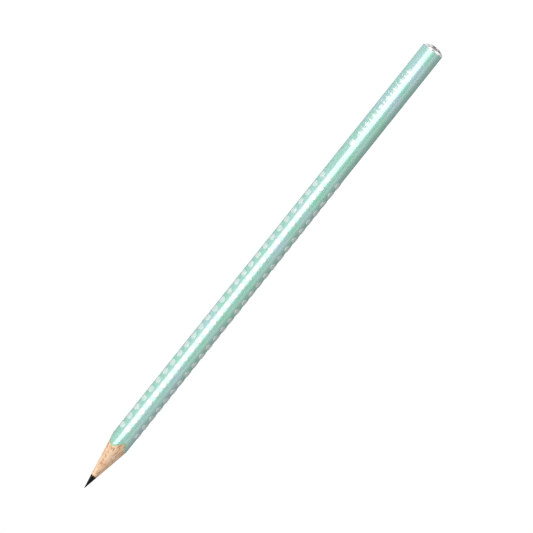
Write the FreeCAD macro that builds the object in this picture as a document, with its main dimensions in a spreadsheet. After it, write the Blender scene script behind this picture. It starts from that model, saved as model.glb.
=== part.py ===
import FreeCAD, Part
import math
import os
import Sketcher

# A three-sided, wood-cased graphite pencil lying on one face.
# +X points from the stone to the point, +Z is up, and the row of grip dots below rests on Z = 0.
# The origin is under the middle of the pencil.

# Driving sizes, in millimetres, degrees and counts
drivingSizes = {
    "barrelLength": 175.0,  # from the point to the cut end under the stone
    "cornerReach": 3.84,  # from the axis to the rounded corners, over the lacquer
    "cornerRadius": 1.87,
    "faceRadius": 5.28,  # the shallow arc of each face, over the lacquer
    "coreDiameter": 2.0,
    "pointRadius": 0.1,
    "coneHalfAngle": 10.8,
    "slatGlue": 0.06,  # glue between the two halves of the casing
    "coreGlue": 0.05,  # glue around the lead
    "groundCoat": 0.05,
    "colourCoat": 0.05,
    "pearlCoat": 0.05,
    "endDip": 0.15,  # lacquer over the cut end
    "endRound": 0.06,
    "dotDiameter": 2.3,
    "dotHeight": 0.16,
    "dotEdge": 0.14,
    "dotPitch": 3.58,
    "dotCount": 29,
    "dotStart": 23.5,  # from the point to the middle of the first dot
    "rowAngle": 16.0,  # each row of dots from the middle of its face
    "foilThickness": 0.03,
    "rosetteStart": 137.3,  # from the point to the middle of the rosette
    "rosetteReach": 1.45,
    "rosetteWaist": 0.72,
    "chainStart": 141.1,  # from the point to the first star of the chain
    "chainPitch": 3.45,
    "starCount": 8,
    "starReach": 1.3,
    "starWaist": 0.42,
    "lozengeHalfLength": 0.38,
    "lozengeHalfWidth": 0.75,
    "beadDiameter": 0.6,
    "beadOffset": 1.2,
    "stoneMargin": 0.07,  # how far the stone stays inside the faces
    "stoneHeight": 1.3,
    "girdleHeight": 0.2,
    "girdleAngle": 45,  # slopes of the three rings of facets, from the flat back
    "mainAngle": 24,
    "starAngle": 14,
    "mainFacetCount": 8,
    "girdleWidth": 0.34,  # how far in the main facets start, and the star facets after them
    "mainWidth": 1.2,
    "mirrorFoil": 0.04,
    "stoneGlue": 0.06,
}

doc = FreeCAD.newDocument("GraphitePencil")
sheet = doc.addObject("Spreadsheet::Sheet", "Sizes")
for row, (alias, number) in enumerate(drivingSizes.items(), start=1):
    sheet.set("A%d" % row, str(number))
    sheet.setAlias("A%d" % row, alias)
doc.recompute()

# Lengths worked out from the driving sizes, as expressions
cornerOffset = "(Sizes.cornerReach - Sizes.cornerRadius)"
arcGap = "(Sizes.faceRadius - Sizes.cornerRadius)"
faceOffset = f"(sqrt({arcGap}^2 - 0.75*{cornerOffset}^2) - {cornerOffset}/2)"
faceReach = f"(Sizes.faceRadius - {faceOffset})"
stoneRise = "(Sizes.stoneHeight + Sizes.mirrorFoil + Sizes.stoneGlue)"
pointX = f"((Sizes.barrelLength + {stoneRise})/2)"
rimX = f"({pointX} - Sizes.barrelLength)"
casingX = f"({rimX} + Sizes.endDip)"
apexX = f"({pointX} + Sizes.pointRadius*(1/sin(Sizes.coneHalfAngle) - 1))"
coreRadius = "(Sizes.coreDiameter/2)"
grooveRadius = f"({coreRadius} + Sizes.coreGlue)"
coats = "(Sizes.groundCoat + Sizes.colourCoat + Sizes.pearlCoat)"
outside = "(2*Sizes.cornerReach)"
stoneRadius = f"({faceReach} - Sizes.stoneMargin)"

# The barrel rests on the rounded inner edges of the dots of its lower face
dotFlat = "(Sizes.dotDiameter/2 - Sizes.dotEdge)"
edgeRise = f"sqrt((Sizes.faceRadius + Sizes.dotHeight - Sizes.dotEdge)^2 - {dotFlat}^2)"
dotReach = f"({edgeRise}*cos(Sizes.rowAngle) + {dotFlat}*sin(Sizes.rowAngle) + Sizes.dotEdge)"
axisHeight = f"({dotReach} - {faceOffset})"

faceTurns = {"left": 60, "right": -60, "bottom": 180}  # each face's outward normal, turned from +Z about X


def worth(expression):
    # The present value of an expression, for a sketch's first guess
    return float(FreeCAD.Units.Quantity(sheet.evalExpression(expression)).Value)


def originPart(body, role):
    return [feature for feature in body.Origin.OriginFeatures if feature.Role == role][0]


def newBody(label, height=axisHeight):
    body = doc.addObject("PartDesign::Body", label)
    body.Label = label
    body.setExpression("Placement.Base.z", height)
    return body


def bodyOnFace(label, turn, rowTurn="0"):
    # A body whose origin lies on the face's own arc centre, with its Z through the face
    body = newBody(label, f"{axisHeight} - {faceOffset}*cos({turn})")
    body.Placement.Rotation = FreeCAD.Rotation(FreeCAD.Vector(1, 0, 0), 45)
    body.setExpression("Placement.Base.y", f"{faceOffset}*sin({turn})")
    body.setExpression("Placement.Rotation.Angle", f"{turn} + ({rowTurn})")
    return body


def newSketch(body, name, role, offset=None):
    sketch = body.newObject("Sketcher::SketchObject", f"{body.Label}_{name}")
    sketch.AttachmentSupport = [(originPart(body, role), "")]
    sketch.MapMode = "FlatFace"
    if offset:
        sketch.setExpression("AttachmentOffset.Base.z", offset)
    return sketch


def bind(sketch, kind, where, expression):
    index = sketch.addConstraint(Sketcher.Constraint(kind, *where, worth(expression)))
    sketch.setExpression(f"Constraints[{index}]", expression)


def placePoint(sketch, edge, end, across, up):
    bind(sketch, "DistanceX", (-1, 1, edge, end), across)
    bind(sketch, "DistanceY", (-1, 1, edge, end), up)


def addCircle(sketch, radius, across="0", up="0"):
    centre = FreeCAD.Vector(worth(across), worth(up), 0)
    edge = sketch.addGeometry(Part.Circle(centre, FreeCAD.Vector(0, 0, 1), worth(radius)))
    placePoint(sketch, edge, 3, across, up)
    bind(sketch, "Radius", (edge,), radius)


def addPolygon(sketch, corners):
    # A closed outline of straight edges; each corner is a pair of expressions
    points = [FreeCAD.Vector(worth(across), worth(up), 0) for across, up in corners]
    edges = []
    for start, end in zip(points, points[1:] + points[:1]):
        edges.append(sketch.addGeometry(Part.LineSegment(start, end)))
    for edge, following, (across, up) in zip(edges, edges[1:] + edges[:1], corners):
        sketch.addConstraint(Sketcher.Constraint("Coincident", edge, 2, following, 1))
        placePoint(sketch, edge, 1, across, up)


def addRectangle(sketch, left, right, low, high):
    addPolygon(sketch, [(left, low), (right, low), (right, high), (left, high)])


def addSection(sketch, inset):
    # The barrel's outline, an inset below the finished surface: three corner arcs joined by three
    # shallow face arcs, every joint tangent
    reach, gap, faceOut = worth(cornerOffset), worth(arcGap), worth(faceOffset)
    cornerArc = worth(f"Sizes.cornerRadius - {inset}")
    faceArc = worth(f"Sizes.faceRadius - {inset}")
    halfFace = math.asin(reach * math.sin(math.radians(60)) / gap)
    halfCorner = math.radians(60) - halfFace
    arcs = []
    for corner in (90, 210, 330):
        for middle, offset, radius, half in (
            (corner, reach, cornerArc, halfCorner),
            (corner + 60, -faceOut, faceArc, halfFace),
        ):
            turn = math.radians(middle)
            centre = FreeCAD.Vector(offset * math.cos(turn), offset * math.sin(turn), 0)
            circle = Part.Circle(centre, FreeCAD.Vector(0, 0, 1), radius)
            arcs.append(sketch.addGeometry(Part.ArcOfCircle(circle, turn - half, turn + half)))
    for arc, following in zip(arcs, arcs[1:] + arcs[:1]):
        sketch.addConstraint(Sketcher.Constraint("Tangent", arc, 2, following, 1))
    for corner, arc in zip((90, 210, 330), arcs[::2]):
        placePoint(sketch, arc, 3, f"{cornerOffset}*cos({corner})", f"{cornerOffset}*sin({corner})")
        bind(sketch, "Radius", (arc,), f"Sizes.cornerRadius - {inset}")
    for arc in arcs[1::2]:
        bind(sketch, "Radius", (arc,), f"Sizes.faceRadius - {inset}")


def addFeature(body, kind, name, sketch):
    feature = body.newObject(f"PartDesign::{kind}", f"{body.Label}_{name}")
    feature.Profile = sketch
    return feature


def pad(body, sketch, length):
    feature = addFeature(body, "Pad", "pad", sketch)
    feature.setExpression("Length", length)
    doc.recompute()
    return feature


def cut(body, name, sketch, kind="Pocket"):
    # Takes the profile out of the body, and stops if nothing came away
    before = body.Shape.Volume
    feature = addFeature(body, kind, name, sketch)
    if kind == "Pocket":
        feature.Type = "ThroughAll"
        feature.SideType = "Symmetric"
    else:
        feature.ReferenceAxis = (originPart(body, "X_Axis"), [""])
        feature.Angle = 360
    doc.recompute()
    if not body.Shape.Volume < before - 1e-6:
        raise RuntimeError(f"{feature.Name} removed nothing")
    return feature


def pattern(body, kind, name, original, axis, count):
    feature = body.newObject(f"PartDesign::{kind}", f"{body.Label}_{name}")
    feature.Originals = [original]
    reference = (originPart(body, axis), [""])
    if kind == "PolarPattern":
        feature.Axis = reference
        feature.Angle = 360
    else:
        feature.Direction = reference
    feature.setExpression("Occurrences", count)
    body.Tip = feature
    return feature


def repeatAlong(body, original, pitch, count):
    # A row of copies along the barrel, towards the point
    row = pattern(body, "LinearPattern", "row", original, "X_Axis", count)
    row.setExpression("Length", f"({count} - 1)*{pitch}")
    doc.recompute()


def sharpen(body):
    # The sharpener's cut: everything outside the cone goes
    reach = "(Sizes.cornerReach + 1)"
    sketch = newSketch(body, "cone", "XZ_Plane")
    shoulder = f"{apexX} - {reach}/tan(Sizes.coneHalfAngle)"
    addPolygon(sketch, [(apexX, "0"), (apexX, reach), (shoulder, reach)])
    cut(body, "sharpened", sketch, "Groove")


def barrelPad(body, insets, startX=casingX):
    # The section along the barrel, between the insets, from the given place to past the point
    sketch = newSketch(body, "section", "YZ_Plane", startX)
    for inset in insets:
        addSection(sketch, inset)
    return pad(body, sketch, f"{pointX} - {startX}")


# The lead: a round rod ground to a cone with a rounded point
def makeCore():
    body = newBody("graphite_core")
    sketch = newSketch(body, "profile", "XZ_Plane")
    half = math.radians(worth("Sizes.coneHalfAngle"))
    startX, endX = worth(casingX), worth(pointX)
    radius, tip = worth(coreRadius), worth("Sizes.pointRadius")
    coneX = worth(apexX) - radius / math.tan(half)
    centre = FreeCAD.Vector(endX - tip, 0, 0)
    touch = centre + FreeCAD.Vector(tip * math.sin(half), tip * math.cos(half), 0)
    corners = [FreeCAD.Vector(x, y, 0) for x, y in ((endX, 0), (startX, 0), (startX, radius), (coneX, radius))]
    corners.append(touch)
    edges = [sketch.addGeometry(Part.LineSegment(a, b)) for a, b in zip(corners, corners[1:])]
    circle = Part.Circle(centre, FreeCAD.Vector(0, 0, 1), tip)
    arc = sketch.addGeometry(Part.ArcOfCircle(circle, 0, math.pi / 2 - half))
    for edge, following in zip(edges, edges[1:]):
        sketch.addConstraint(Sketcher.Constraint("Coincident", edge, 2, following, 1))
    sketch.addConstraint(Sketcher.Constraint("Coincident", arc, 1, edges[0], 1))
    placePoint(sketch, edges[0], 1, pointX, "0")
    placePoint(sketch, edges[1], 1, casingX, "0")
    placePoint(sketch, edges[2], 1, casingX, coreRadius)
    placePoint(sketch, edges[3], 1, f"{apexX} - {coreRadius}/tan(Sizes.coneHalfAngle)", coreRadius)
    placePoint(
        sketch, edges[3], 2,
        f"{pointX} - Sizes.pointRadius*(1 - sin(Sizes.coneHalfAngle))",
        "Sizes.pointRadius*cos(Sizes.coneHalfAngle)",
    )
    sketch.addConstraint(Sketcher.Constraint("Tangent", edges[3], 2, arc, 2))
    turned = addFeature(body, "Revolution", "turned", sketch)
    turned.ReferenceAxis = (originPart(body, "X_Axis"), [""])
    turned.Angle = 360
    return body


# The glue around the lead
def makeCoreGlue():
    body = newBody("core_glue")
    sketch = newSketch(body, "section", "YZ_Plane", casingX)
    addCircle(sketch, coreRadius)
    addCircle(sketch, grooveRadius)
    pad(body, sketch, f"{pointX} - {casingX}")
    sharpen(body)
    return body


# Casing halves and the glue lines between them, all cut from the same outline
def makeCasingPiece(label, left, right, low, high):
    body = newBody(label)
    barrelPad(body, [coats])
    trim = newSketch(body, "trim", "YZ_Plane")
    far = f"(2*{outside})"
    addRectangle(trim, f"-{far}", far, f"-{far}", far)
    addRectangle(trim, left, right, low, high)
    cut(body, "split", trim)
    channel = newSketch(body, "channel", "YZ_Plane")
    addCircle(channel, grooveRadius)
    cut(body, "channelled", channel)
    sharpen(body)
    return body


# One layer of lacquer, between two depths
def makeCoat(label, outerInset, innerInset):
    body = newBody(label)
    barrelPad(body, [outerInset, innerInset])
    sharpen(body)
    return body


# The dipped end, flush with the lacquer and rounded off at its rim
def makeEndDip():
    body = newBody("end_dip")
    padded = barrelPad(body, ["0"], rimX)
    padded.setExpression("Length", "Sizes.endDip")
    doc.recompute()
    rim = [
        f"Edge{number}"
        for number, edge in enumerate(padded.Shape.Edges, start=1)
        if edge.BoundBox.XMax < worth(rimX) + 1e-6
    ]
    rounded = body.newObject("PartDesign::Fillet", "end_dip_rounded")
    rounded.Base = (padded, rim)
    rounded.setExpression("Radius", "Sizes.endRound")
    return body


# Trims what is padded through a face to a layer of the given thickness that follows the face
def layOnFace(body, thickness):
    sketch = newSketch(body, "layer", "YZ_Plane")
    addCircle(sketch, "Sizes.faceRadius")
    addCircle(sketch, f"Sizes.faceRadius + {thickness}")
    addCircle(sketch, f"Sizes.faceRadius + {outside}")
    return cut(body, "laid", sketch)


throughFace = "Sizes.faceRadius + Sizes.cornerRadius"


# One row of raised varnish dots along a face, rounded over their outer edges
def makeDotRow(label, turn, rowTurn):
    body = bodyOnFace(label, turn, rowTurn)
    sketch = newSketch(body, "dot", "XY_Plane")
    lastX = f"{pointX} - Sizes.dotStart - (Sizes.dotCount - 1)*Sizes.dotPitch"
    addCircle(sketch, "Sizes.dotDiameter/2", lastX)
    post = pad(body, sketch, throughFace)
    repeatAlong(body, post, "Sizes.dotPitch", "Sizes.dotCount")
    laid = layOnFace(body, "Sizes.dotHeight")
    rimTop = worth("Sizes.faceRadius + Sizes.dotHeight/2")
    rims = [
        f"Edge{number}"
        for number, edge in enumerate(laid.Shape.Edges, start=1)
        if edge.BoundBox.ZMax > rimTop and edge.BoundBox.YLength > worth(dotFlat)
    ]
    rounded = body.newObject("PartDesign::Fillet", f"{label}_rounded")
    rounded.Base = (laid, rims)
    rounded.setExpression("Radius", "Sizes.dotEdge")
    body.Tip = rounded
    return body


def starCorners(centre, points, reach, waist):
    # A star of straight edges, its first point along the barrel
    corners = []
    for corner in range(2 * points):
        radius = waist if corner % 2 else reach
        turn = 180 * corner / points
        corners.append((f"{centre} + {radius}*cos({turn})", f"{radius}*sin({turn})"))
    return corners


# Stamped foil ornament: a rosette, then a chain of stars and lozenges with beads beside them
def makeFoil(label, drawOutline, count=None):
    body = bodyOnFace(label, faceTurns["left"])
    sketch = newSketch(body, "outline", "XY_Plane")
    drawOutline(sketch)
    outline = pad(body, sketch, throughFace)
    if count:
        repeatAlong(body, outline, "Sizes.chainPitch", count)
    body.Tip = layOnFace(body, "Sizes.foilThickness")
    return body


# The chain's last star and last lozenge, from which the patterns run back towards the point
lastStarX = f"({pointX} - Sizes.chainStart - (Sizes.starCount - 1)*Sizes.chainPitch)"
lastLozengeX = f"({lastStarX} + Sizes.chainPitch/2)"


def drawRosette(sketch):
    centre = f"{pointX} - Sizes.rosetteStart"
    addPolygon(sketch, starCorners(centre, 8, "Sizes.rosetteReach", "Sizes.rosetteWaist"))


def drawStar(sketch):
    addPolygon(sketch, starCorners(lastStarX, 4, "Sizes.starReach", "Sizes.starWaist"))


def drawLozenge(sketch):
    length, width = "Sizes.lozengeHalfLength", "Sizes.lozengeHalfWidth"
    ends = [(f"{lastLozengeX} + {length}", "0"), (lastLozengeX, width)]
    ends += [(f"{lastLozengeX} - {length}", "0"), (lastLozengeX, f"-{width}")]
    addPolygon(sketch, ends)


def drawBeads(sketch):
    for side in ("", "-"):
        addCircle(sketch, "Sizes.beadDiameter/2", lastLozengeX, f"{side}Sizes.beadOffset")


# Everything at the far end is built on the stone's own axis, which is turned to point along -X
def bodyAtEnd(label, standOff):
    body = newBody(label)
    body.Placement.Rotation = FreeCAD.Rotation(FreeCAD.Vector(0, 1, 0), -90)
    body.setExpression("Placement.Base.x", f"{rimX} - ({standOff})")
    return body


def makeDisc(label, standOff, radius, thickness):
    body = bodyAtEnd(label, standOff)
    sketch = newSketch(body, "outline", "XY_Plane")
    addCircle(sketch, radius)
    pad(body, sketch, thickness)
    return body


# One ring of facets: a wedge outside the facet's slope is cut away and repeated around the stone
def cutFacets(body, name, reach, height, slope, count, phase):
    sketch = newSketch(body, name, "XZ_Plane")
    sketch.AttachmentOffset.Rotation = FreeCAD.Rotation(FreeCAD.Vector(0, 1, 0), 45)
    sketch.setExpression("AttachmentOffset.Rotation.Angle", phase)
    far = "Sizes.cornerReach"
    inward = f"({reach} - {far})"
    outward = f"({reach} + {far})"
    addPolygon(
        sketch,
        [
            (inward, f"{height} + {far}*tan({slope})"),
            (outward, f"{height} - {far}*tan({slope})"),
            (outward, f"{height} + 2*{far}"),
            (inward, f"{height} + 2*{far}"),
        ],
    )
    wedge = cut(body, f"{name}_cut", sketch)
    pattern(body, "PolarPattern", f"{name}_ring", wedge, "Z_Axis", count)
    doc.recompute()


# The clear stone: flat back, upright girdle, three rings of facets and a small flat table
def makeStone():
    body = makeDisc("end_stone", "Sizes.stoneGlue + Sizes.mirrorFoil", stoneRadius, "Sizes.stoneHeight")
    count = "Sizes.mainFacetCount"
    halfStep = f"180/{count}"
    girdleTop = "Sizes.girdleHeight"
    cutFacets(body, "girdle", stoneRadius, girdleTop, "Sizes.girdleAngle", f"2*{count}", f"{halfStep}/2")
    mainReach = f"({stoneRadius} - Sizes.girdleWidth)"
    mainFoot = f"({girdleTop} + Sizes.girdleWidth*tan(Sizes.girdleAngle))"
    cutFacets(body, "main", mainReach, mainFoot, "Sizes.mainAngle", count, halfStep)
    starReach = f"({mainReach} - Sizes.mainWidth)"
    starFoot = f"({mainFoot} + Sizes.mainWidth*tan(Sizes.mainAngle))"
    cutFacets(body, "star", starReach, starFoot, "Sizes.starAngle", count, "0")
    return body


colourInset = "Sizes.pearlCoat"
groundInset = "(Sizes.pearlCoat + Sizes.colourCoat)"
halfFilm = "(Sizes.slatGlue/2)"

subParts = [
    makeCore(),
    makeCoreGlue(),
    makeCasingPiece("upper_slat", f"-{outside}", outside, halfFilm, outside),
    makeCasingPiece("lower_slat", f"-{outside}", outside, f"-{outside}", f"-{halfFilm}"),
    makeCasingPiece("slat_glue_left", f"-{outside}", "0", f"-{halfFilm}", halfFilm),
    makeCasingPiece("slat_glue_right", "0", outside, f"-{halfFilm}", halfFilm),
    makeCoat("ground_coat", groundInset, coats),
    makeCoat("colour_coat", colourInset, groundInset),
    makeCoat("pearl_coat", "0", colourInset),
    makeEndDip(),
    makeFoil("foil_rosette", drawRosette),
    makeFoil("foil_stars", drawStar, "Sizes.starCount"),
    makeFoil("foil_lozenges", drawLozenge, "(Sizes.starCount - 1)"),
    makeFoil("foil_beads", drawBeads, "(Sizes.starCount - 1)"),
    makeDisc("stone_glue", "0", stoneRadius, "Sizes.stoneGlue"),
    makeDisc("stone_mirror", "Sizes.stoneGlue", stoneRadius, "Sizes.mirrorFoil"),
    makeStone(),
]
for face, turn in faceTurns.items():
    for side, sign in (("a", "-"), ("b", "")):
        subParts.append(makeDotRow(f"grip_dots_{face}_{side}", turn, f"{sign}Sizes.rowAngle"))

doc.recompute()
for item in doc.Objects:
    if {"Invalid", "Error"} & set(item.State):
        raise RuntimeError(f"{item.Name} failed: {item.State}")
for part in subParts:
    if part.Shape.isNull() or not part.Shape.isValid():
        raise RuntimeError(f"{part.Label} has no valid shape")

os.makedirs("parts", exist_ok=True)
for part in subParts:
    part.Shape.exportStep(f"parts/{part.Label}.step")
    box = part.Shape.optimalBoundingBox(False)
    corners = (box.XMin, box.XMax, box.YMin, box.YMax, box.ZMin, box.ZMax)
    print(part.Label, len(part.Shape.Solids), "solids", " ".join(f"{edge:.3f}" for edge in corners))
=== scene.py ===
import math
import bmesh
import bpy
from mathutils import Matrix, Vector


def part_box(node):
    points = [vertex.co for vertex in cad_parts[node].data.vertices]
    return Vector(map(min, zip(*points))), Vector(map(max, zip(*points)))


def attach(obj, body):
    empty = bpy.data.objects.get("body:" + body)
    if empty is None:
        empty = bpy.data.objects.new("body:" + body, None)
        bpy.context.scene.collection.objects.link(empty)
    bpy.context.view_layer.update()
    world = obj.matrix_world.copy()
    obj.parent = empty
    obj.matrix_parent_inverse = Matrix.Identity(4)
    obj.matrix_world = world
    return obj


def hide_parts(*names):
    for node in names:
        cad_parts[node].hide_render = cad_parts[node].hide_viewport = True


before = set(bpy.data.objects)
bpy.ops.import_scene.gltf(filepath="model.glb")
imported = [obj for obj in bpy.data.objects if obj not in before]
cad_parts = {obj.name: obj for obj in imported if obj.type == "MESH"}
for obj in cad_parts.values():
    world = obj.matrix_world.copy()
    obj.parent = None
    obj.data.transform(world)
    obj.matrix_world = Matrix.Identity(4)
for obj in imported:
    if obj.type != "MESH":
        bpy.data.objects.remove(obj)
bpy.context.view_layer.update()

mm = 0.001
scene = bpy.context.scene
scene.view_settings.view_transform = "Standard"

# Places that every piece shares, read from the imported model
coreLow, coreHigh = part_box("graphite_core")
stoneLow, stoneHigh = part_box("end_stone")
dipLow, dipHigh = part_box("end_dip")
axisZ = (coreLow.z + coreHigh.z) / 2
pointX = coreHigh.x
rimX = dipLow.x
casingX = dipHigh.x

# The barrel's section and the sharpener's cone, as the model was designed
barrel = dict(
    cornerReach=3.84 * mm, cornerRadius=1.87 * mm, faceRadius=5.28 * mm,
    coreRadius=1.0 * mm, coreGlue=0.05 * mm, slatGlue=0.06 * mm,
    coats=(0.05 * mm, 0.05 * mm, 0.05 * mm),  # pearl, colour and ground, from the outside in
    coneHalfAngle=math.radians(10.8), pointRadius=0.1 * mm,
)
cornerOffset = barrel["cornerReach"] - barrel["cornerRadius"]
arcGap = barrel["faceRadius"] - barrel["cornerRadius"]
faceOffset = math.sqrt(arcGap**2 - 0.75 * cornerOffset**2) - cornerOffset / 2
halfCorner = math.radians(60) - math.asin(cornerOffset * math.sin(math.radians(60)) / arcGap)
coneSlope = math.tan(barrel["coneHalfAngle"])
apexX = pointX + barrel["pointRadius"] * (1 / math.sin(barrel["coneHalfAngle"]) - 1)
grooveRadius = barrel["coreRadius"] + barrel["coreGlue"]
woodInset = sum(barrel["coats"])


# Camera and light
cameraLook = dict(
    above=68, endToward=5.2,  # degrees above the table's plane, and of the stone's end towards the lens
    roll=51.36,  # the barrel's slope across the view, in degrees
    distance=1.5, lens=325.1, aside=2.22 * mm, up=0.76 * mm,
)


def makeCamera():
    above, toward = math.radians(cameraLook["above"]), math.radians(cameraLook["endToward"])
    level = math.cos(toward)
    back = Vector((-math.sin(toward), -math.cos(above) * level, math.sin(above) * level))
    along = Vector((-1, 0, 0))
    along = (along - along.dot(back) * back).normalized()
    across = back.cross(along)
    roll = math.radians(cameraLook["roll"])
    right = math.cos(roll) * along - math.sin(roll) * across
    up = math.sin(roll) * along + math.cos(roll) * across
    target = Vector((0, 0, axisZ)) + right * cameraLook["aside"] + up * cameraLook["up"]
    data = bpy.data.cameras.new("camera")
    data.lens = cameraLook["lens"]
    data.clip_start, data.clip_end = 0.05, 20
    camera = bpy.data.objects.new("camera", data)
    camera.matrix_world = Matrix.Translation(target + back * cameraLook["distance"]) @ Matrix(
        (right, up, back)
    ).transposed().to_4x4()
    scene.collection.objects.link(camera)
    scene.camera = camera
    return back, along, across


toLens, alongView, acrossView = makeCamera()
print("camera made")

lights = dict(
    key=dict(turn=45, distance=0.8, width=0.49, length=1.0, power=2.5),
)


def makeLight(name, turn, distance, width, length, power):
    # A soft box beside the barrel's line, turned from the lens towards the upper left
    angle = math.radians(turn)
    toLight = math.cos(angle) * toLens + math.sin(angle) * acrossView
    data = bpy.data.lights.new(name, "AREA")
    data.shape = "RECTANGLE"
    data.size, data.size_y, data.energy = length, width, power
    light = bpy.data.objects.new(name, data)
    side = toLight.cross(alongView).normalized()
    light.matrix_world = Matrix.Translation(Vector((0, 0, axisZ)) + toLight * distance) @ Matrix(
        (alongView, side, toLight)
    ).transposed().to_4x4()
    scene.collection.objects.link(light)


for name, look in lights.items():
    makeLight(name, **look)


class Link:
    # A node's output, which can take part in sums
    def __init__(self, graph, socket):
        self.graph = graph
        self.socket = socket

    def calc(self, operation, *values):
        return self.graph.add("ShaderNodeMath", {"operation": operation}, dict(enumerate(values)))

    def __add__(self, other):
        return self.calc("ADD", self, other)

    def __radd__(self, other):
        return self.calc("ADD", other, self)

    def __sub__(self, other):
        return self.calc("SUBTRACT", self, other)

    def __rsub__(self, other):
        return self.calc("SUBTRACT", other, self)

    def __mul__(self, other):
        return self.calc("MULTIPLY", self, other)

    def __rmul__(self, other):
        return self.calc("MULTIPLY", other, self)

    def __truediv__(self, other):
        return self.calc("DIVIDE", self, other)

    def __pow__(self, other):
        return self.calc("POWER", self, other)

    def __lt__(self, other):
        return self.calc("LESS_THAN", self, other)

    def __gt__(self, other):
        return self.calc("GREATER_THAN", self, other)

    def out(self, name):
        return Link(self.graph, self.socket.node.outputs[name])


class Graph:
    # Builds the nodes of a material or of a geometry tree
    def __init__(self, tree):
        self.tree = tree

    def add(self, kind, settings=None, values=None, output=0):
        node = self.tree.nodes.new(kind)
        for name, setting in (settings or {}).items():
            if name == "stops":
                fillRamp(node.color_ramp, setting)
            else:
                setattr(node, name, setting)
        for name, value in (values or {}).items():
            if isinstance(value, Link):
                self.tree.links.new(value.socket, node.inputs[name])
            else:
                node.inputs[name].default_value = value
        return Link(self, node.outputs[output]) if node.outputs else node

    def calc(self, operation, *values):
        return self.add("ShaderNodeMath", {"operation": operation}, dict(enumerate(values)))

    def vector(self, operation, *values):
        return self.add("ShaderNodeVectorMath", {"operation": operation}, dict(enumerate(values)))

    def mix(self, factor, first, second, blend="MIX"):
        settings = {"data_type": "RGBA", "blend_type": blend}
        return self.add("ShaderNodeMix", settings, {0: factor, 6: first, 7: second}, 2)


def fillRamp(ramp, stops):
    while len(ramp.elements) < len(stops):
        ramp.elements.new(1.0)
    for element, (place, colour) in zip(ramp.elements, stops):
        element.position = place
        element.color = colour


def grey(level):
    return (level, level, level, 1)


def startMaterial(name, constants):
    material = bpy.data.materials.new(name)
    material.use_nodes = True
    surface = material.node_tree.nodes["Principled BSDF"]
    for socket, value in constants.items():
        surface.inputs[socket].default_value = value
    return material, Graph(material.node_tree), surface


def feed(graph, surface, **links):
    names = dict(
        colour="Base Color", roughness="Roughness", metallic="Metallic",
        normal="Normal", glow="Emission Color",
    )
    for name, link in links.items():
        graph.tree.links.new(link.socket, surface.inputs[names[name]])


def objectPoint(graph, scale=(1, 1, 1)):
    # The point on the piece in millimetres, stretched
    point = graph.add("ShaderNodeTexCoord", output="Object")
    return graph.add("ShaderNodeMapping", None, {"Vector": point, "Scale": [part / mm for part in scale]})


def noiseOf(graph, point, scale, detail=2, rough=0.5):
    return graph.add(
        "ShaderNodeTexNoise", None, {"Vector": point, "Scale": scale, "Detail": detail, "Roughness": rough}
    )


def band(graph, value, low, high):
    return graph.add("ShaderNodeMapRange", None, {"Value": value, "From Min": low, "From Max": high})


def bump(graph, height, distance, strength=1.0, normal=None):
    values = {"Height": height, "Distance": distance, "Strength": strength}
    if normal:
        values["Normal"] = normal
    return graph.add("ShaderNodeBump", None, values)


pearlLook = dict(
    mint=(0.41, 0.77, 0.65, 1), shade=(0.36, 0.71, 0.59, 1),
    blush=(0.50, 0.73, 0.80, 1), leaf=(0.28, 0.82, 0.52, 1),
    flakesPerMm=16, waveMm=9, roughness=0.40, metallic=0.0, coatRoughness=0.11, coatIndex=2.2,
)
pearlDrift = dict(
    blushBand=(0.46, 0.66), leafBand=(0.54, 0.66), leafShare=0.7, shadeShare=0.25,
    glintAbove=0.94, glintMetal=0.3, rippleDepth=0.008 * mm,
)


def makePearl(name, look):
    # Clear lacquer over fine pearl flakes, with slow drifts of green and blue
    constants = {"Coat Weight": 1.0, "Coat Roughness": look["coatRoughness"], "Coat IOR": look["coatIndex"]}
    material, graph, surface = startMaterial(name, constants)
    point = objectPoint(graph)
    stretched = objectPoint(graph, (0.35, 1, 1))
    drift = noiseOf(graph, stretched, 1 / look["waveMm"] * 2, 3)
    tint = band(graph, drift, *pearlDrift["blushBand"])
    flakes = graph.add("ShaderNodeTexVoronoi", None, {"Vector": point, "Scale": look["flakesPerMm"]})
    cell = graph.add("ShaderNodeSeparateColor", None, {"Color": flakes.out("Color")})
    base = graph.mix(tint, look["mint"], look["blush"])
    green = band(graph, noiseOf(graph, stretched, 1 / look["waveMm"] * 3.1, 3), *pearlDrift["leafBand"])
    base = graph.mix(green * pearlDrift["leafShare"], base, look["leaf"])
    base = graph.mix(cell * pearlDrift["shadeShare"], base, look["shade"])
    glint = cell.out("Green") > pearlDrift["glintAbove"]
    ripple = noiseOf(graph, stretched, 0.9, 2)
    peel = noiseOf(graph, point, 3.2, 2)
    smooth = bump(graph, ripple * 0.8 + peel * 0.2, pearlDrift["rippleDepth"])
    feed(
        graph, surface, colour=base, roughness=look["roughness"] + cell.out("Blue") * 0.12,
        metallic=look["metallic"] + glint * pearlDrift["glintMetal"], normal=smooth,
    )
    return material


coatEdgeLook = dict(
    mint=dict(colour=(0.40, 0.58, 0.32, 1), dark=(0.26, 0.44, 0.26, 1)),
    ground=dict(colour=(0.74, 0.80, 0.46, 1), dark=(0.60, 0.68, 0.36, 1)),
)


def makeCoatEdge(name, look):
    # An inner layer of lacquer, seen only where the sharpener cut through it
    material, graph, surface = startMaterial(name, {"Roughness": 0.45})
    point = objectPoint(graph)
    cloud = band(graph, noiseOf(graph, point, 4, 3), 0.3, 0.7)
    feed(graph, surface, colour=graph.mix(cloud, look["colour"], look["dark"]),
         normal=bump(graph, noiseOf(graph, point, 14, 2), 0.006 * mm))
    return material


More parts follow.
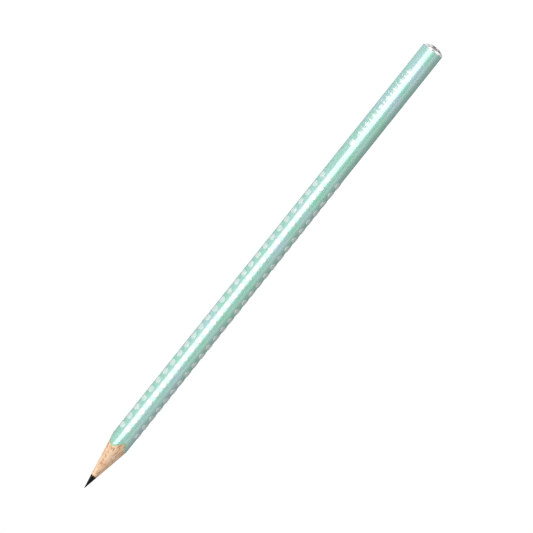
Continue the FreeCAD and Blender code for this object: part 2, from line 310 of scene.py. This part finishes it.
varnishLook = dict(
    pale=(0.80, 0.95, 0.91, 1), mint=(0.62, 0.88, 0.82, 1), silver=(0.93, 1.0, 0.98, 1),
    glitterPerMm=6, roughness=0.34, coatRoughness=0.16, coatIndex=2.2,
    flakeAbove=0.62, flakeShare=0.75, flakeDepth=0.012 * mm, unevenDepth=0.02 * mm,
)


def makeVarnish(name, look):
    # Milky varnish full of fine silver glitter
    constants = {"Coat Weight": 1.0, "Coat Roughness": look["coatRoughness"], "Coat IOR": look["coatIndex"]}
    material, graph, surface = startMaterial(name, constants)
    point = objectPoint(graph)
    glitter = graph.add("ShaderNodeTexVoronoi", None, {"Vector": point, "Scale": look["glitterPerMm"]})
    cell = graph.add("ShaderNodeSeparateColor", None, {"Color": glitter.out("Color")})
    cloud = band(graph, noiseOf(graph, point, 1.1, 2), 0.3, 0.7)
    flake = cell > look["flakeAbove"]
    base = graph.mix(cloud * 0.7, look["pale"], look["mint"])
    base = graph.mix(flake * look["flakeShare"], base, look["silver"])
    tilt = bump(graph, cell.out("Green") * flake, look["flakeDepth"], 0.4)
    rounded = bump(graph, noiseOf(graph, point, 2.5, 1), look["unevenDepth"], 0.4, tilt)
    feed(graph, surface, colour=base, metallic=flake * 0.2,
         roughness=look["roughness"] + 0.2 * cell.out("Blue"), normal=rounded)
    return material


woodLook = dict(
    pale=(1.0, 0.76, 0.54, 1), warm=(0.91, 0.56, 0.33, 1), fleck=(0.42, 0.17, 0.09, 1),
    ringsPerMm=0.55, flecksPerMm=1.35, fleckBand=(0.53, 0.60), fleckShare=0.7, grainDepth=0.03 * mm,
)


def makeWood(name, look):
    # Fine straight grain along the barrel, with short dark flecks and the marks of the sharpener
    material, graph, surface = startMaterial(name, {"Roughness": 0.62})
    grain = objectPoint(graph, (0.05, 1, 1))
    fleckPoint = objectPoint(graph, (0.3, 1, 1))
    fine = objectPoint(graph, (0.5, 6, 6))
    rings = noiseOf(graph, grain, look["ringsPerMm"] * 2, 4, 0.6)
    base = graph.mix(band(graph, rings, 0.35, 0.65), look["pale"], look["warm"])
    flecks = band(graph, noiseOf(graph, fleckPoint, look["flecksPerMm"], 2, 0.65), *look["fleckBand"])
    base = graph.mix(flecks * look["fleckShare"], base, look["fleck"])
    pores = noiseOf(graph, fine, 2.2, 2)
    height = pores * 0.5 + rings * 0.3 - flecks * 0.4
    feed(graph, surface, colour=graph.mix(band(graph, pores, 0.3, 0.8) * 0.25, base, look["warm"]),
         roughness=0.55 + 0.15 * pores, normal=bump(graph, height, look["grainDepth"]))
    return material


graphiteLook = dict(
    dark=(0.002, 0.002, 0.002, 1), shine=(0.012, 0.012, 0.013, 1), turnsPerMm=5,
    specular=0.18, roughness=0.13, ringDepth=0.012 * mm,
)


def makeGraphite(name, look):
    # Burnished lead, ringed by the sharpener's blade
    material, graph, surface = startMaterial(name, {"Specular IOR Level": look["specular"]})
    turned = objectPoint(graph, (1, 0.12, 0.12))
    rings = noiseOf(graph, turned, look["turnsPerMm"], 4, 0.6)
    grit = noiseOf(graph, objectPoint(graph), 22, 2)
    feed(graph, surface, colour=graph.mix(band(graph, rings, 0.4, 0.75), look["dark"], look["shine"]),
         roughness=look["roughness"] + 0.1 * grit,
         normal=bump(graph, rings * 0.7 + grit * 0.3, look["ringDepth"]))
    return material


foilLook = dict(
    bright=(0.93, 1.0, 0.98, 1), dull=(0.76, 0.92, 0.88, 1), metallic=0.3, coat=0.6, coatRoughness=0.2,
)


def makeFoilFinish(name, look):
    # Bright stamped foil with the faint marble of the surface under it
    constants = {
        "Metallic": look["metallic"], "Coat Weight": look["coat"], "Coat Roughness": look["coatRoughness"],
    }
    material, graph, surface = startMaterial(name, constants)
    point = objectPoint(graph)
    marble = noiseOf(graph, point, 2.4, 4, 0.6)
    worn = band(graph, marble, 0.5, 0.75)
    feed(graph, surface, colour=graph.mix(worn, look["bright"], look["dull"]), roughness=0.38 + 0.2 * worn,
         normal=bump(graph, noiseOf(graph, point, 6, 2), 0.006 * mm))
    return material


# The dark and bright facet colours are painted reflection, and the emission strength makes the painted
# colour glow like a lamp
stoneLook = dict(
    dark=(0.02, 0.025, 0.025, 1), bright=(1.0, 1.0, 1.0, 1), haze=0.05, paintedGlow=0.4,
    coat=0.5, coatRoughness=0.03, coatIndex=1.6,
)


def makeStoneGlass(name, look):
    # Foiled glass with painted reflections: each facet is painted bright or dark, in place of the foil or
    # the dark inside of the stone seen in it, and glows in that colour
    constants = {
        "Coat Weight": look["coat"], "Coat Roughness": look["coatRoughness"],
        "Coat IOR": look["coatIndex"], "Emission Strength": look["paintedGlow"],
    }
    material, graph, surface = startMaterial(name, constants)
    # each facet's painted reflection level, 0 for dark and 1 for bright, read from the stone's mesh
    tone = graph.add("ShaderNodeAttribute", {"attribute_name": "facetTone"}).out("Fac")
    haze = noiseOf(graph, objectPoint(graph), 1.4, 2)
    colour = graph.mix(tone, look["dark"], look["bright"])
    # the painted colour also feeds the glow, a painted light on every bright facet
    feed(graph, surface, colour=colour, metallic=0.25 * tone,
         roughness=0.06 + look["haze"] * haze, glow=colour)
    return material


plainLooks = dict(
    mirrorFoil=dict(
        pale=(0.92, 0.93, 0.94, 1), deep=(0.86, 0.88, 0.9, 1), spotsPerMm=1.5,
        metallic=1.0, roughness=0.06, depth=0.002 * mm,
    ),
    woodGlue=dict(
        pale=(0.50, 0.30, 0.16, 1), deep=(0.40, 0.22, 0.11, 1), spotsPerMm=3,
        metallic=0.0, roughness=0.4, depth=0.01 * mm,
    ),
    clearGlue=dict(
        pale=(0.85, 0.86, 0.80, 1), deep=(0.78, 0.80, 0.72, 1), spotsPerMm=2,
        metallic=0.0, roughness=0.2, depth=0.01 * mm,
    ),
)


def makeCloudy(name):
    # A plain finish with slight mottling, for the pieces that hardly show
    look = plainLooks[name]
    constants = {"Metallic": look["metallic"], "Roughness": look["roughness"]}
    material, graph, surface = startMaterial(name, constants)
    point = objectPoint(graph)
    cloud = band(graph, noiseOf(graph, point, look["spotsPerMm"], 3), 0.35, 0.65)
    feed(graph, surface, colour=graph.mix(cloud, look["pale"], look["deep"]),
         normal=bump(graph, noiseOf(graph, point, look["spotsPerMm"] * 5, 2), look["depth"]))
    return material


endLook = dict(
    mint=(0.62, 0.83, 0.77, 1), shade=(0.52, 0.76, 0.69, 1),
    blush=(0.66, 0.80, 0.84, 1), leaf=(0.5, 0.82, 0.7, 1),
    flakesPerMm=14, waveMm=5, roughness=0.3, metallic=0.1, coatRoughness=0.16, coatIndex=2.2,
)

pearl = makePearl("pearlLacquer", pearlLook)
endPearl = makePearl("endLacquer", endLook)
mintEdge = makeCoatEdge("mintCoat", coatEdgeLook["mint"])
groundEdge = makeCoatEdge("groundCoat", coatEdgeLook["ground"])
varnish = makeVarnish("glitterVarnish", varnishLook)
wood = makeWood("casingWood", woodLook)
graphite = makeGraphite("graphiteLead", graphiteLook)
foil = makeFoilFinish("silverFoil", foilLook)
stoneGlass = makeStoneGlass("stoneGlass", stoneLook)
mirror = makeCloudy("mirrorFoil")
woodGlue = makeCloudy("woodGlue")
clearGlue = makeCloudy("clearGlue")
print("materials made")


def addPiece(name, mesh, material, replaced, sharpAngle=30):
    mesh.materials.clear()
    mesh.materials.append(material)
    mesh.shade_smooth()
    if sharpAngle:
        mesh.set_sharp_from_angle(angle=math.radians(sharpAngle))
    piece = bpy.data.objects.new(name, mesh)
    scene.collection.objects.link(piece)
    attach(piece, "root")
    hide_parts(*replaced)
    return piece


def joinRings(form, rings, closedAcross=False):
    # Closed rings of points, joined with quads
    rows = [[form.verts.new(point) for point in ring] for ring in rings]
    pairs = list(zip(rows, rows[1:]))
    if closedAcross:
        pairs.append((rows[-1], rows[0]))
    count = len(rings[0])
    for row, following in pairs:
        for i in range(count):
            j = (i + 1) % count
            form.faces.new((row[i], row[j], following[j], following[i]))
    return rows


def meshFromRings(name, rings, closedAcross=False, capStart=False, capEnd=False):
    # A cap fans in to the ring's middle
    form = bmesh.new()
    rows = joinRings(form, rings, closedAcross)
    count = len(rings[0])
    for wanted, row in ((capStart, rows[0]), (capEnd, rows[-1])):
        if wanted:
            middle = form.verts.new(sum((v.co for v in row), Vector()) / count)
            for i in range(count):
                form.faces.new((row[i], row[(i + 1) % count], middle))
    return finishForm(name, form)


def finishForm(name, form):
    bmesh.ops.remove_doubles(form, verts=form.verts, dist=1e-7)
    bmesh.ops.recalc_face_normals(form, faces=form.faces)
    mesh = bpy.data.meshes.new(name)
    form.to_mesh(mesh)
    form.free()
    return mesh


def sectionPoint(normalAngle, inset):
    # The barrel's outline where its normal has this angle, measured from +Z towards -Y
    folded = (normalAngle + math.radians(60)) % math.radians(120) - math.radians(60)
    if abs(folded) <= halfCorner:
        centre, radius = Vector((cornerOffset, 0)), barrel["cornerRadius"] - inset
    else:
        side = math.copysign(math.radians(60), folded)
        centre = Vector((math.cos(side), math.sin(side))) * -faceOffset
        radius = barrel["faceRadius"] - inset
    local = centre + radius * Vector((math.cos(folded), math.sin(folded)))
    turn = normalAngle - folded
    up = local.x * math.cos(turn) - local.y * math.sin(turn)
    left = local.x * math.sin(turn) + local.y * math.cos(turn)
    return -left, up


def outlineReach(angle, inset):
    # How far the outline lies from the axis in this direction, measured from +Z towards -Y
    folded = (angle + math.radians(60)) % math.radians(120) - math.radians(60)
    cornerRadius = barrel["cornerRadius"] - inset
    junction = math.atan2(
        cornerRadius * math.sin(halfCorner), cornerOffset + cornerRadius * math.cos(halfCorner)
    )
    if abs(folded) <= junction:
        return cornerOffset * math.cos(folded) + math.sqrt(
            cornerRadius**2 - (cornerOffset * math.sin(folded)) ** 2
        )
    side = folded - math.copysign(math.radians(60), folded)
    faceRadius = barrel["faceRadius"] - inset
    return math.sqrt(faceRadius**2 - (faceOffset * math.sin(side)) ** 2) - faceOffset * math.cos(side)


# Lacquer, as a rule over a grid
coatShape = dict(around=120, rowsPerSide=20)
coatPieces = (
    ("pearlCoat", "pearl_coat", "pearl_lacquer", pearl),
    ("colourCoat", "colour_coat", "mint_lacquer", mintEdge),
    ("groundCoat", "ground_coat", "ground_lacquer", groundEdge),
)


def makeTree(name, inputs):
    tree = bpy.data.node_groups.new(name, "GeometryNodeTree")
    for label, kind in inputs.items():
        tree.interface.new_socket(name=label, in_out="INPUT", socket_type=f"NodeSocket{kind}")
    tree.interface.new_socket(name="Geometry", in_out="OUTPUT", socket_type="NodeSocketGeometry")
    graph = Graph(tree)
    entry = tree.nodes.new("NodeGroupInput")
    return graph, {label: Link(graph, entry.outputs[label]) for label in inputs}


def endTree(graph, geometry, material):
    realized = graph.add("GeometryNodeRealizeInstances", None, {"Geometry": geometry})
    dressed = graph.add("GeometryNodeSetMaterial", None, {"Geometry": realized, "Material": material})
    graph.add("NodeGroupOutput", None, {"Geometry": dressed})
    return graph.tree


def runTree(name, tree, values):
    # The tree's result as a plain mesh
    holder = bpy.data.objects.new(name, bpy.data.meshes.new(name))
    scene.collection.objects.link(holder)
    modifier = holder.modifiers.new("shape", "NODES")
    modifier.node_group = tree
    for item in tree.interface.items_tree:
        if item.in_out == "INPUT":
            modifier[item.identifier] = values[item.name]
    depsgraph = bpy.context.evaluated_depsgraph_get()
    mesh = bpy.data.meshes.new_from_object(holder.evaluated_get(depsgraph), depsgraph=depsgraph)
    holder.modifiers.remove(modifier)
    bpy.data.objects.remove(holder)
    mesh.name = name
    return mesh


def makeCoatTree():
    # A grid wrapped into a sleeve: out along the barrel, in across the sharpened edge, back inside
    inputs = dict(Around="Int", Rows="Int", Inset="Float", Depth="Float", Material="Material")
    graph, given = makeTree("coatSleeve", inputs)
    grid = graph.add(
        "GeometryNodeMeshGrid", None,
        {"Size X": 1.0, "Size Y": 1.0, "Vertices X": given["Around"], "Vertices Y": given["Rows"]},
    )
    place = graph.add("ShaderNodeSeparateXYZ", None, {0: graph.add("GeometryNodeInputPosition")})
    turn = (place + 0.5) * math.tau
    row = (place.out("Y") + 0.5) * 4
    forward = graph.calc("MAXIMUM", graph.calc("MINIMUM", graph.calc("MINIMUM", row, 3 - row), 1), 0)
    inward = graph.calc("MAXIMUM", graph.calc("MINIMUM", graph.calc("MINIMUM", row - 1, 4 - row), 1), 0)
    inset = given["Inset"] + inward * given["Depth"]
    sixth = math.radians(60)
    folded = graph.calc("WRAP", turn, sixth, -sixth)
    corner = graph.calc("ABSOLUTE", folded) < halfCorner
    side = graph.calc("SIGN", folded) * sixth
    radius = corner * barrel["cornerRadius"] + (1 - corner) * barrel["faceRadius"] - inset
    centreUp = corner * cornerOffset - (1 - corner) * faceOffset * graph.calc("COSINE", side)
    centreLeft = (corner - 1) * faceOffset * graph.calc("SINE", side)
    localUp = centreUp + radius * graph.calc("COSINE", folded)
    localLeft = centreLeft + radius * graph.calc("SINE", folded)
    rest = turn - folded
    up = localUp * graph.calc("COSINE", rest) - localLeft * graph.calc("SINE", rest)
    left = localUp * graph.calc("SINE", rest) + localLeft * graph.calc("COSINE", rest)
    reach = graph.calc("SQRT", up * up + left * left)
    cut = apexX - reach / coneSlope
    along = casingX + forward * (cut - casingX)
    spot = graph.add("ShaderNodeCombineXYZ", None, {"X": along, "Y": 0 - left, "Z": up + axisZ})
    sleeve = graph.add("GeometryNodeSetPosition", None, {"Geometry": grid, "Position": spot})
    joined = graph.add("GeometryNodeMergeByDistance", None, {"Geometry": sleeve, "Distance": 1e-7})
    return endTree(graph, joined, given["Material"])


def makeCoats():
    tree = makeCoatTree()
    inset = 0.0
    for (name, node, slot, material), depth in zip(coatPieces, barrel["coats"]):
        values = dict(Around=coatShape["around"] + 1, Rows=4 * coatShape["rowsPerSide"] + 1,
                      Inset=inset, Depth=depth, Material=material)
        mesh = runTree(name, tree, values)
        form = bmesh.new()
        form.from_mesh(mesh)
        bmesh.ops.recalc_face_normals(form, faces=form.faces)
        form.to_mesh(mesh)
        form.free()
        addPiece(name, mesh, material, [node])
        inset += depth


makeCoats()
print("lacquer made")


# Grip dots
dotShape = dict(
    radius=1.17 * mm, height=0.16 * mm, sink=0.02 * mm, flatness=20.0, pitch=3.58 * mm, rowAngle=16.0,
    sides=18, rings=5, wander=0.03,
)
faceTurns = dict(left=60, right=-60, bottom=180)


def makeDotTree():
    # One low dome bent round the face's arc, set out along a row
    inputs = dict(Count="Int", Pitch="Float", First="Float", Radius="Float", Height="Float", Sink="Float",
                  Turn="Float", Across="Float", Up="Float", Wander="Float", Seed="Int", Material="Material")
    graph, given = makeTree("dotRow", inputs)
    cone = graph.add(
        "GeometryNodeMeshCone", {"fill_type": "NGON"},
        {"Vertices": dotShape["sides"], "Side Segments": dotShape["rings"], "Radius Top": 0.0,
         "Radius Bottom": 1.0, "Depth": 1.0},
    )
    place = graph.add("ShaderNodeSeparateXYZ", None, {0: graph.add("GeometryNodeInputPosition")})
    out = graph.calc("SQRT", place * place + place.out("Y") * place.out("Y"))
    spread = graph.calc("SINE", out * (math.pi / 2))
    scale = given["Radius"] * spread / graph.calc("MAXIMUM", out, 1e-4)
    dome = graph.calc("SQRT", graph.calc("MAXIMUM", 1 - spread ** dotShape["flatness"], 0))
    rim = out > 0.999
    radius = barrel["faceRadius"] + given["Height"] * dome - given["Sink"] * rim
    bend = place.out("Y") * scale / barrel["faceRadius"]
    spot = graph.add(
        "ShaderNodeCombineXYZ", None,
        {"X": place * scale,
         "Y": radius * graph.calc("SINE", bend), "Z": radius * graph.calc("COSINE", bend)},
    )
    dot = graph.add("GeometryNodeSetPosition", None, {"Geometry": cone, "Position": spot})
    start = graph.add("ShaderNodeCombineXYZ", None, {"X": given["First"]})
    step = graph.add("ShaderNodeCombineXYZ", None, {"X": given["Pitch"]})
    line = graph.add(
        "GeometryNodeMeshLine", None, {"Count": given["Count"], "Start Location": start, "Offset": step}
    )
    narrowest = 1 - given["Wander"]
    lowest = graph.add("ShaderNodeCombineXYZ", None, {"X": narrowest, "Y": narrowest, "Z": 1.0})
    highest = graph.add("ShaderNodeCombineXYZ", None, {"X": 1.0, "Y": 1.0, "Z": 1.0})
    size = graph.add(
        "FunctionNodeRandomValue", {"data_type": "FLOAT_VECTOR"},
        {0: lowest, 1: highest, "Seed": given["Seed"]},
    )
    dots = graph.add("GeometryNodeInstanceOnPoints", None, {"Points": line, "Instance": dot, "Scale": size})
    turned = graph.add(
        "GeometryNodeTransform", None,
        {"Geometry": dots,
         "Rotation": graph.add("ShaderNodeCombineXYZ", None, {"X": given["Turn"]}),
         "Translation": graph.add("ShaderNodeCombineXYZ", None, {"Y": given["Across"], "Z": given["Up"]})},
    )
    return endTree(graph, turned, given["Material"])


def makeDots():
    tree = makeDotTree()
    seed = 1
    for face, faceTurn in faceTurns.items():
        for side, sign in (("a", -1), ("b", 1)):
            node = f"grip_dots_{face}_{side}"
            low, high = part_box(node)
            first = low.x + dotShape["radius"]
            count = round((high.x - dotShape["radius"] - first) / dotShape["pitch"]) + 1
            turn = math.radians(faceTurn)
            values = dict(
                Count=count, Pitch=dotShape["pitch"], First=first, Radius=dotShape["radius"],
                Height=dotShape["height"], Sink=dotShape["sink"],
                Turn=turn + sign * math.radians(dotShape["rowAngle"]),
                Across=faceOffset * math.sin(turn), Up=axisZ - faceOffset * math.cos(turn),
                Wander=dotShape["wander"], Seed=seed, Material=varnish,
            )
            seed += 1
            name = "gripDots" + face.capitalize() + side.upper()
            addPiece(name, runTree(name, tree, values), varnish, [node], 50)


makeDots()
print("dots made")


# Casing and lead
casingShape = dict(around=72, barrelRows=24, coneRows=64, grooveSides=24)


def makeSlat(name, node, fromAngle):
    # Half of the casing: a fan of lengthwise lines over the barrel and down the cone, and the groove
    half = barrel["slatGlue"] / 2
    sign = 1 if fromAngle == -90 else -1
    rings = []
    for step in range(casingShape["around"] + 1):
        angle = math.radians(fromAngle + 180 * step / casingShape["around"])
        reach = outlineReach(angle, woodInset)
        cutX = apexX - reach / coneSlope
        stations = [(casingX + (cutX - casingX) * i / casingShape["barrelRows"], reach)
                    for i in range(casingShape["barrelRows"] + 1)]
        endX = apexX - grooveRadius / coneSlope
        for i in range(1, casingShape["coneRows"] + 1):
            x = cutX + (endX - cutX) * i / casingShape["coneRows"]
            stations.append((x, (apexX - x) * coneSlope))
        stations.append((casingX, grooveRadius))
        ring = []
        for x, radius in stations:
            across, up = -radius * math.sin(angle), radius * math.cos(angle)
            up = sign * max(sign * up, half)
            ring.append(Vector((x, across, axisZ + up)))
        rings.append(ring)
    form = bmesh.new()
    rows = joinRings(form, rings)
    for row in (rows[0], rows[-1]):
        form.faces.new(row)
    mesh = finishForm(name, form)
    addPiece(name, mesh, wood, [node], 25)


makeSlat("upperSlat", "upper_slat", -90)
makeSlat("lowerSlat", "lower_slat", 90)

leadShape = dict(around=64, coneRows=30, tipRows=8)


def ringAt(x, radius, around):
    turns = [math.tau * i / around for i in range(around)]
    return [Vector((x, radius * math.sin(turn), axisZ + radius * math.cos(turn))) for turn in turns]


def makeLead():
    around, half, tip = leadShape["around"], barrel["coneHalfAngle"], barrel["pointRadius"]
    radius = barrel["coreRadius"]
    coneX = apexX - radius / coneSlope
    touchX = pointX - tip * (1 - math.sin(half))
    rings = [ringAt(casingX, radius, around)]
    for i in range(leadShape["coneRows"] + 1):
        x = coneX + (touchX - coneX) * i / leadShape["coneRows"]
        rings.append(ringAt(x, (apexX - x) * coneSlope, around))
    for i in range(1, leadShape["tipRows"]):
        turn = half + (math.pi / 2 - half) * i / leadShape["tipRows"]
        rings.append(ringAt(pointX - tip + tip * math.sin(turn), tip * math.cos(turn), around))
    mesh = meshFromRings("lead", rings, capStart=True, capEnd=True)
    addPiece("lead", mesh, graphite, ["graphite_core"], 25)


def makeLeadGlue():
    around = leadShape["around"]
    outer, inner = grooveRadius, barrel["coreRadius"]
    rings = [ringAt(casingX, outer, around), ringAt(apexX - outer / coneSlope, outer, around)]
    rings += [ringAt(apexX - inner / coneSlope, inner, around), ringAt(casingX, inner, around)]
    mesh = meshFromRings("leadGlue", rings, closedAcross=True)
    addPiece("leadGlue", mesh, woodGlue, ["core_glue"], 25)


makeLead()
makeLeadGlue()
print("casing and lead made")


# The end
dipShape = dict(around=120, round=0.06 * mm, roundRows=6)


def makeEndDip():
    # A thin cap of lacquer with a rounded rim, over the cut end
    around = dipShape["around"]

    def ring(x, inset):
        spots = [sectionPoint(math.tau * i / around, inset) for i in range(around)]
        return [Vector((x, across, axisZ + up)) for across, up in spots]

    rings = [ring(casingX, 0)]
    for i in range(dipShape["roundRows"] + 1):
        turn = math.pi / 2 * i / dipShape["roundRows"]
        along, inset = 1 - math.sin(turn), 1 - math.cos(turn)
        rings.append(ring(rimX + dipShape["round"] * along, dipShape["round"] * inset))
    mesh = meshFromRings("endDip", rings, capStart=True, capEnd=True)
    addPiece("endDip", mesh, endPearl, ["end_dip"])


makeEndDip()

cutShape = dict(
    # painted reflection: how bright each facet is painted, going round from the top
    mainBorders=(0.0, 0.4, 0.7, 0.1, 0.9, 0.2, 0.0, 0.9),
    mainMiddles=(0.3, 1.0, 0.9, 0.8, 0.2, 0.9, 0.3, 0.08),
    starTones=(0.9, 0.15, 0.3, 0.9, 0.1, 0.85, 0.2, 0.02),
    girdleTones=(1.0, 0.5), tableTone=0.6, inset=0.2 * mm,
    # the most that each kind of facet leans from the flat table, in degrees
    tableLean=5, starLean=19, mainLean=35,
    smallestInset=0.3 * mm, insetLean=(20, 60),
)


def facetLean(face):
    return math.degrees(math.acos(max(-1, min(1, -face.normal.x))))


def facetTone(face, mainTones):
    # Painted reflection: main and star facets take turns of painted light and dark round the stone
    lean = facetLean(face)
    turn = math.degrees(math.atan2(-face.normal.y, face.normal.z)) % 360
    if lean < cutShape["tableLean"]:
        return cutShape["tableTone"]
    if lean < cutShape["starLean"]:
        return cutShape["starTones"][round(turn / 45) % 8]
    if lean < cutShape["mainLean"]:
        return mainTones[int(turn // 45)]
    return cutShape["girdleTones"][round(turn / 22.5) % 2]


def makeCutStone():
    # The cut glass with each main facet split into a border and a middle, and each facet given its painted
    # reflection level
    form = bmesh.new()
    form.from_mesh(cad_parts["end_stone"].data)
    bmesh.ops.remove_doubles(form, verts=form.verts, dist=1e-7)
    bmesh.ops.dissolve_limit(form, angle_limit=math.radians(1), verts=form.verts, edges=form.edges)
    bmesh.ops.recalc_face_normals(form, faces=form.faces)
    layer = form.faces.layers.float.new("facetTone")
    for face in form.faces:
        face[layer] = facetTone(face, cutShape["mainBorders"])
    flattest, steepest = cutShape["insetLean"]
    large = [face for face in form.faces
             if math.sqrt(face.calc_area()) > cutShape["smallestInset"]
             and flattest < facetLean(face) < steepest]
    bmesh.ops.inset_individual(form, faces=large, thickness=cutShape["inset"], depth=0)
    for face in large:
        face[layer] = facetTone(face, cutShape["mainMiddles"])
    mesh = bpy.data.meshes.new("cutStone")
    form.to_mesh(mesh)
    form.free()
    stone = addPiece("cutStone", mesh, stoneGlass, ["end_stone"], 5)
    stone.data.shade_flat()


makeCutStone()

for node, material in dict(
    stone_mirror=mirror, stone_glue=clearGlue, slat_glue_left=woodGlue,
    slat_glue_right=woodGlue, foil_rosette=foil, foil_stars=foil, foil_lozenges=foil, foil_beads=foil,
).items():
    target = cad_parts[node]
    target.data.materials.clear()
    target.data.materials.append(material)
print("end made")


# Floor and surroundings
floorLook = dict(size=6.0, pale=(0.36, 0.36, 0.36, 1), worn=(0.33, 0.33, 0.33, 1), glow=1.02)


def makeFloorPaper(name, look):
    # White to look at and grey to its surroundings, as a lit table is with dark cards beside the object
    material, graph, surface = startMaterial(name, {"Roughness": 0.9})
    cloud = noiseOf(graph, objectPoint(graph), 0.02, 3)
    paper = graph.mix(band(graph, cloud, 0.35, 0.65), look["pale"], look["worn"])
    seen = graph.add("ShaderNodeLightPath", output="Is Camera Ray")
    glow = graph.add("ShaderNodeEmission", None, {"Color": (1, 1, 1, 1), "Strength": look["glow"]})
    mixed = graph.add("ShaderNodeMixShader", None, {0: seen, 1: Link(graph, surface.outputs[0]), 2: glow})
    graph.tree.links.new(mixed.socket, graph.tree.nodes["Material Output"].inputs["Surface"])
    feed(graph, surface, colour=paper)
    return material


def makeFloor():
    form = bmesh.new()
    bmesh.ops.create_grid(form, x_segments=8, y_segments=8, size=floorLook["size"] / 2)
    mesh = bpy.data.meshes.new("floor")
    form.to_mesh(mesh)
    form.free()
    mesh.materials.append(makeFloorPaper("floorPaper", floorLook))
    floor = bpy.data.objects.new("floor", mesh)
    scene.collection.objects.link(floor)


makeFloor()

# Brightness of the room round the barrel's line, by degrees from the lens towards the upper left
surroundings = dict(
    levels=(
        (-180, 0.4), (-100, 0.45), (-58, 0.75), (-30, 0.85), (-12, 0.03), (22, 0.03),
        (30, 1.2), (52, 1.9), (84, 2.0), (112, 1.5), (180, 1.5),
    ),
    strongest=2.0,
)


def makeSurroundings():
    # A soft room that is dark around the lens and bright to the upper left
    world = bpy.data.worlds.new("studio")
    scene.world = world
    world.use_nodes = True
    graph = Graph(world.node_tree)
    direction = graph.add("ShaderNodeTexCoord", output="Generated")

    def along(axis):
        return graph.vector("DOT_PRODUCT", direction, axis).out("Value")

    turn = graph.calc("ARCTAN2", along(acrossView), along(toLens))
    strongest = surroundings["strongest"]
    stops = [(0.5 + angle / 360, grey(level / strongest)) for angle, level in surroundings["levels"]]
    level = graph.add("ShaderNodeValToRGB", {"stops": stops}, {"Fac": turn / math.tau + 0.5})
    background = world.node_tree.nodes["Background"]
    background.inputs["Color"].default_value = grey(1)
    graph.tree.links.new((level * strongest).socket, background.inputs["Strength"])


makeSurroundings()
print("floor and surroundings made")

print("scene done")
